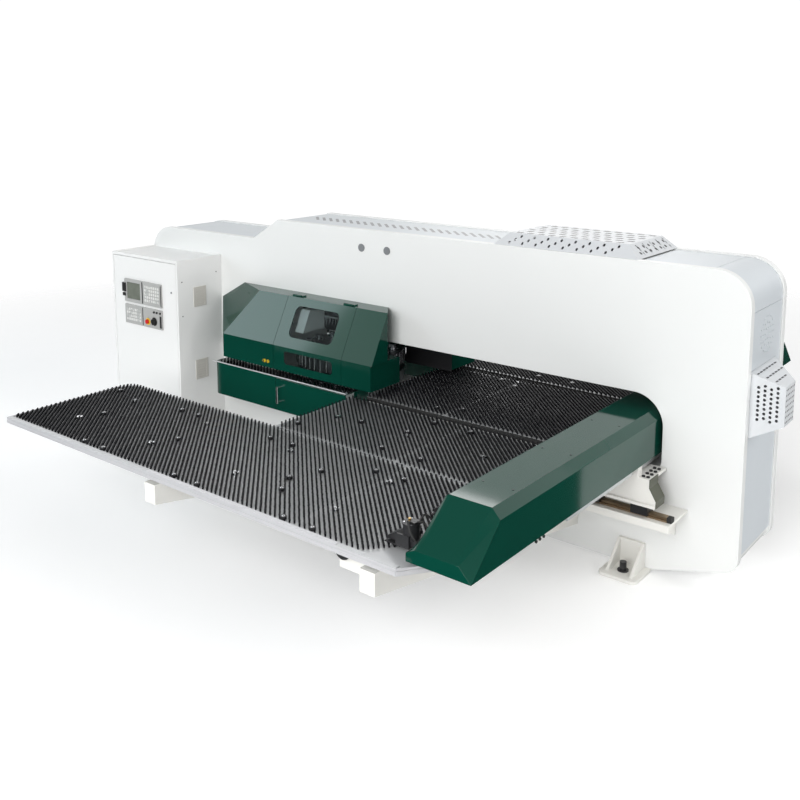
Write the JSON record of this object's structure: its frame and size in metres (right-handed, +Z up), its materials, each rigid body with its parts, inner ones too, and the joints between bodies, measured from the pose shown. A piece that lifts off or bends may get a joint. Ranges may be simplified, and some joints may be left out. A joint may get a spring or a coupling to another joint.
{
  "type": "cnc turret punch press",
  "caption": "Turret punch press with a closed bridge frame, brush tables, a clamp carriage on a moving beam, green turret covers and a control cabinet, for punching sheet metal",
  "frame": {"origin": "floor level, under the middle of the machine's outline in plan", "axes": "+Z up, +X along the bridge frame from the control cabinet to the column end, -Y the operator's side"},
  "size_m": [5.81, 5.002, 2.108],
  "materials": {
    "white_paint": "satin",
    "grey_paint": "satin",
    "green_paint": "gloss",
    "olive_paint": "satin",
    "guide_steel": "ground",
    "table_steel": "satin",
    "brush_black": "matte",
    "ball_steel": "polished",
    "turret_steel": "satin",
    "tool_steel": "ground",
    "black_steel": "satin",
    "black_rubber": "matte",
    "handle_chrome": "polished",
    "smoked_window": "clear",
    "screen_glass": "gloss",
    "unit_plastic": "matte",
    "black_plastic": "matte",
    "red_plastic": "gloss"
  },
  "bodies": {
    "frame": {"main_frame": "white_paint", "skin_panels": "grey_paint", "tread_plate": "grey_paint", "ram_drive_hood": "white_paint", "side_vent_box": "white_paint", "face_plugs": "grey_paint", "foot_brackets": "white_paint", "levelling_bolts": "black_steel", "rail_shelves": "white_paint", "guide_rails": "guide_steel", "rail_buffers": "black_rubber", "support_arms": "white_paint", "centre_tables": "table_steel", "centre_brushes": "brush_black", "table_ball_transfers": "ball_steel", "turret_cover_left": "green_paint", "turret_cover_right": "green_paint", "turret_cover_rear": "green_paint", "tool_guard": "white_paint", "lower_cover_front": "green_paint", "lower_cover_rear": "green_paint", "cabinet_shell": "white_paint", "vent_grilles": "grey_paint"},
    "cabinet_front": {"cabinet_door": "white_paint", "screen_bezel": "unit_plastic", "screen_glass": "screen_glass", "keypads": "unit_plastic", "button_panel": "unit_plastic"},
    "stop_button": {"stop_button": "red_plastic"},
    "turn_knob": {"turn_knob": "black_plastic"},
    "push_button_1": {"push_button_1": "black_plastic"},
    "push_button_2": {"push_button_2": "black_plastic"},
    "push_button_3": {"push_button_3": "black_plastic"},
    "carriage": {"carriage_beam": "turret_steel", "beam_cover": "green_paint", "clamp_rail": "guide_steel", "saddles": "white_paint", "saddle_guards": "olive_paint", "bearing_blocks": "black_steel", "wing_hangers": "white_paint", "wing_plates": "table_steel", "wing_brushes": "brush_black", "wing_ball_transfers": "ball_steel"},
    "clamp_slide": {"clamp_carriage": "black_steel", "clamp_bodies": "black_steel"},
    "clamp_jaw_1": {"clamp_jaw_1": "black_steel"},
    "clamp_jaw_2": {"clamp_jaw_2": "black_steel"},
    "clamp_jaw_3": {"clamp_jaw_3": "black_steel"},
    "upper_turret": {"upper_turret": "turret_steel", "punch_tools": "tool_steel"},
    "lower_turret": {"lower_turret": "turret_steel", "die_tools": "tool_steel"},
    "ram": {"ram": "tool_steel"},
    "turret_door": {"turret_door": "green_paint", "door_windows": "smoked_window"},
    "lower_door": {"lower_door": "green_paint", "door_handle": "handle_chrome"},
    "front_roller": {"front_roller": "turret_steel"},
    "rear_roller": {"rear_roller": "turret_steel"}
  },
  "joints": [
    {"name": "carriage_travel", "type": "slide", "parent": "frame", "child": "carriage", "axis": [1, 0, 0], "range_m": [-1.4, 0]},
    {"name": "clamp_travel", "type": "slide", "parent": "carriage", "child": "clamp_slide", "axis": [0, 1, 0], "range_m": [0, 2.5]},
    {"name": "turret_turn", "type": "hinge", "parent": "frame", "child": "upper_turret", "pos_m": [-0.716, 0, 0.91], "axis": [0, 0, 1], "continuous": true},
    {"name": "die_turret_turn", "type": "hinge", "parent": "frame", "child": "lower_turret", "pos_m": [-0.716, 0, 0.755], "axis": [0, 0, 1], "continuous": true},
    {"name": "ram_stroke", "type": "slide", "parent": "frame", "child": "ram", "axis": [0, 0, -1], "range_m": [0, 0.036]},
    {"name": "turret_door_hinge", "type": "hinge", "parent": "frame", "child": "turret_door", "pos_m": [-0.581, -0.4885, 1.4593], "axis": [-1, 0, 0], "range_deg": [0, 75]},
    {"name": "lower_door_hinge", "type": "hinge", "parent": "frame", "child": "lower_door", "pos_m": [-0.257, -0.583, 0.64], "axis": [0, 0, 1], "range_deg": [0, 80]},
    {"name": "cabinet_door_hinge", "type": "hinge", "parent": "frame", "child": "cabinet_front", "pos_m": [-2.842, -0.826, 0.86], "axis": [0, 0, -1], "range_deg": [0, 100]},
    {"name": "stop_press", "type": "slide", "parent": "cabinet_front", "child": "stop_button", "axis": [0, 1, 0], "range_m": [0, 0.006], "stiffness_N_per_m": 900},
    {"name": "knob_turn", "type": "hinge", "parent": "cabinet_front", "child": "turn_knob", "pos_m": [-2.265, -0.85, 1.1], "axis": [0, 1, 0], "range_deg": [-135, 135]},
    {"name": "button_press_1", "type": "slide", "parent": "cabinet_front", "child": "push_button_1", "axis": [0, 1, 0], "range_m": [0, 0.005], "stiffness_N_per_m": 500},
    {"name": "button_press_2", "type": "slide", "parent": "cabinet_front", "child": "push_button_2", "axis": [0, 1, 0], "range_m": [0, 0.005], "stiffness_N_per_m": 500},
    {"name": "button_press_3", "type": "slide", "parent": "cabinet_front", "child": "push_button_3", "axis": [0, 1, 0], "range_m": [0, 0.005], "stiffness_N_per_m": 500},
    {"name": "jaw_close_1", "type": "hinge", "parent": "clamp_slide", "child": "clamp_jaw_1", "pos_m": [1.671, -2.286, 0.848], "axis": [0, 1, 0], "range_deg": [-4, 0]},
    {"name": "jaw_close_2", "type": "hinge", "parent": "clamp_slide", "child": "clamp_jaw_2", "pos_m": [1.671, -1.89, 0.848], "axis": [0, 1, 0], "range_deg": [-4, 0]},
    {"name": "jaw_close_3", "type": "hinge", "parent": "clamp_slide", "child": "clamp_jaw_3", "pos_m": [1.671, -1.495, 0.848], "axis": [0, 1, 0], "range_deg": [-4, 0]},
    {"name": "front_roller_turn", "type": "hinge", "parent": "frame", "child": "front_roller", "pos_m": [1.349, -2.4, 0.7187], "axis": [0, 1, 0], "continuous": true},
    {"name": "rear_roller_turn", "type": "hinge", "parent": "frame", "child": "rear_roller", "pos_m": [1.349, 2.4, 0.7187], "axis": [0, 1, 0], "continuous": true}
  ],
  "couplings": [
    {"joint": "die_turret_turn", "follows": "turret_turn", "ratio": 1},
    {"joint": "jaw_close_2", "follows": "jaw_close_1", "ratio": 1},
    {"joint": "jaw_close_3", "follows": "jaw_close_1", "ratio": 1},
    {"joint": "front_roller_turn", "follows": "carriage_travel", "rad_per_m": 18.182},
    {"joint": "rear_roller_turn", "follows": "carriage_travel", "rad_per_m": 18.182}
  ]
}
